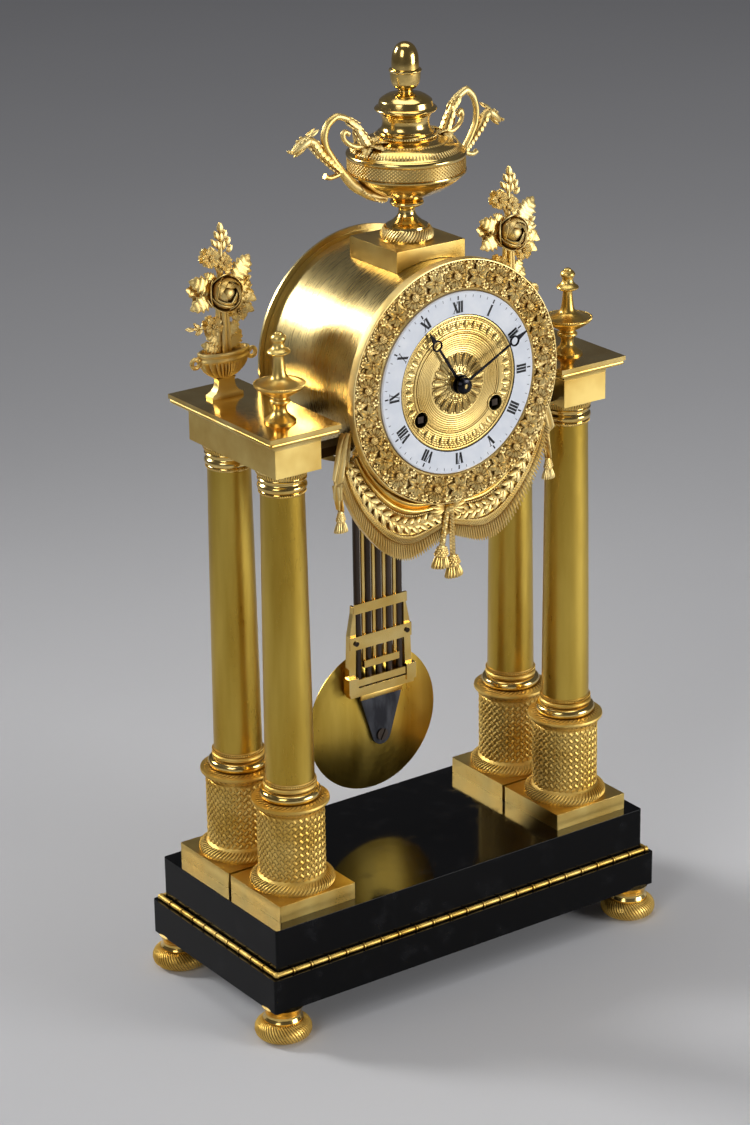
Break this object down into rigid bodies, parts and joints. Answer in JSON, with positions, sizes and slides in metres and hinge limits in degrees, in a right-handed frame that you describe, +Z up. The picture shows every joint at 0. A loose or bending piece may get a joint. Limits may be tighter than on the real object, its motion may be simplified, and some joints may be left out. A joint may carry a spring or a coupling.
{
  "type": "portico clock",
  "caption": "Gilt portico mantel clock: columns on a black base carry a drum with flower bezel, drapery and urn; gridiron pendulum between the columns.",
  "frame": {"origin": "on the table under the centre of the base, at the level of the feet's undersides", "axes": "+Z up, +Y from the dial towards the back, +X to the right seen from the front"},
  "size_m": [0.2602, 0.129, 0.5],
  "materials": {
    "black_stone": "polished black stone",
    "gilt_bronze": "burnished and chased mercury gilding on cast bronze",
    "matt_gilding": "matt mercury gilding",
    "pale_brass": "pale satin brass sheet, hand finished",
    "movement_brass": "grained brass",
    "white_enamel": "glossy fired enamel",
    "blued_steel": "dark blued steel",
    "bright_steel": "polished steel",
    "dark_iron": "blackened iron"
  },
  "bodies": {
    "case": {"base_lower_slab": "black_stone", "base_upper_slab": "black_stone", "base_moulding": "gilt_bronze", "feet": "gilt_bronze", "column_plinths": "gilt_bronze", "column_pedestals": "gilt_bronze", "column_capitals": "gilt_bronze", "architraves": "gilt_bronze", "cornices": "gilt_bronze", "front_finials": "gilt_bronze", "flower_baskets": "gilt_bronze", "bouquets": "gilt_bronze", "rear_ring": "gilt_bronze", "bezel": "gilt_bronze", "drapery_swag": "gilt_bronze", "urn_foot": "gilt_bronze", "urn_body": "gilt_bronze", "urn_lid": "gilt_bronze", "urn_handle_left": "gilt_bronze", "urn_handle_right": "gilt_bronze", "dial_centre": "gilt_bronze", "column_shafts": "matt_gilding", "drum_shell": "pale_brass", "urn_plinth": "pale_brass", "dial_plate": "movement_brass", "front_plate": "movement_brass", "back_plate": "movement_brass", "pillars": "movement_brass", "back_cock": "movement_brass", "bell": "movement_brass", "dial_ring": "white_enamel", "tie_rods": "bright_steel", "tie_rod_nuts": "bright_steel", "bell_post": "bright_steel", "drum_brackets": "dark_iron"},
    "pendulum": {"pendulum_hanger": "movement_brass", "steel_rods": "bright_steel", "brass_rods": "gilt_bronze", "pendulum_bars": "gilt_bronze", "pendulum_yoke": "gilt_bronze", "pendulum_tongue": "blued_steel", "pendulum_bob": "gilt_bronze"},
    "pallets": {"anchor": "bright_steel"},
    "minute": {"minute_hand": "blued_steel", "hand_nut": "blued_steel", "cannon_pinion": "movement_brass", "centre_wheel": "movement_brass"},
    "motion": {"minute_wheel": "movement_brass"},
    "hour": {"hour_hand": "blued_steel", "hour_wheel": "movement_brass"},
    "second": {"second_wheel": "movement_brass"},
    "going_drum": {"going_barrel": "movement_brass"},
    "third": {"third_wheel": "movement_brass"},
    "escape": {"escape_wheel": "movement_brass"},
    "going_key": {"going_arbor": "bright_steel"},
    "strike_drum": {"strike_barrel": "movement_brass"},
    "strike_key": {"strike_arbor": "bright_steel"},
    "striker": {"hammer": "bright_steel"},
    "door": {"back_door": "pale_brass"}
  },
  "joints": [
    {"name": "pendulum_swing", "type": "hinge", "parent": "case", "child": "pendulum", "pos_m": [0, 0.023, 0.371], "axis": [0, 1, 0], "range_deg": [-4, 4]},
    {"name": "pallets_rock", "type": "hinge", "parent": "case", "child": "pallets", "pos_m": [0, 0, 0.371], "axis": [0, 1, 0], "range_deg": [-4, 4]},
    {"name": "minute_turn", "type": "hinge", "parent": "case", "child": "minute", "pos_m": [0, 0, 0.3332], "axis": [0, 1, 0], "continuous": true},
    {"name": "hour_turn", "type": "hinge", "parent": "case", "child": "hour", "pos_m": [0, 0, 0.3332], "axis": [0, 1, 0], "continuous": true},
    {"name": "motion_turn", "type": "hinge", "parent": "case", "child": "motion", "pos_m": [0.006, 0, 0.34359], "axis": [0, 1, 0], "continuous": true},
    {"name": "second_wheel_turn", "type": "hinge", "parent": "case", "child": "second", "pos_m": [0.01628, 0, 0.34088], "axis": [0, 1, 0], "continuous": true},
    {"name": "going_barrel_turn", "type": "hinge", "parent": "case", "child": "going_drum", "pos_m": [0.0233, 0, 0.3183], "axis": [0, 1, 0], "continuous": true},
    {"name": "third_wheel_turn", "type": "hinge", "parent": "case", "child": "third", "pos_m": [-0.00969, 0, 0.34789], "axis": [0, 1, 0], "continuous": true},
    {"name": "escape_wheel_turn", "type": "hinge", "parent": "case", "child": "escape", "pos_m": [0, 0, 0.358], "axis": [0, 1, 0], "continuous": true},
    {"name": "going_winding", "type": "hinge", "parent": "case", "child": "going_key", "pos_m": [0.0233, 0, 0.3183], "axis": [0, 1, 0], "continuous": true},
    {"name": "strike_winding", "type": "hinge", "parent": "case", "child": "strike_key", "pos_m": [-0.0233, 0, 0.3183], "axis": [0, 1, 0], "continuous": true},
    {"name": "strike_barrel_turn", "type": "hinge", "parent": "case", "child": "strike_drum", "pos_m": [-0.0233, 0, 0.3183], "axis": [0, 1, 0], "continuous": true},
    {"name": "hammer_lift", "type": "hinge", "parent": "case", "child": "striker", "pos_m": [-0.01, 0, 0.2952], "axis": [0, -1, 0], "range_deg": [0, 12], "stiffness_Nm_per_rad": 0.02, "springref_deg": -2.86},
    {"name": "back_door_swing", "type": "hinge", "parent": "case", "child": "door", "pos_m": [0.0665, 0.0349, 0.3332], "axis": [0, 0, -1], "range_deg": [0, 90]}
  ],
  "couplings": [
    {"joint": "pallets_rock", "follows": "pendulum_swing", "ratio": 1},
    {"joint": "hour_turn", "follows": "minute_turn", "ratio": 0.083333},
    {"joint": "motion_turn", "follows": "minute_turn", "ratio": -0.33333},
    {"joint": "second_wheel_turn", "follows": "minute_turn", "ratio": -0.14286},
    {"joint": "going_barrel_turn", "follows": "minute_turn", "ratio": 0.018797},
    {"joint": "third_wheel_turn", "follows": "minute_turn", "ratio": -10},
    {"joint": "escape_wheel_turn", "follows": "minute_turn", "ratio": 90}
  ]
}
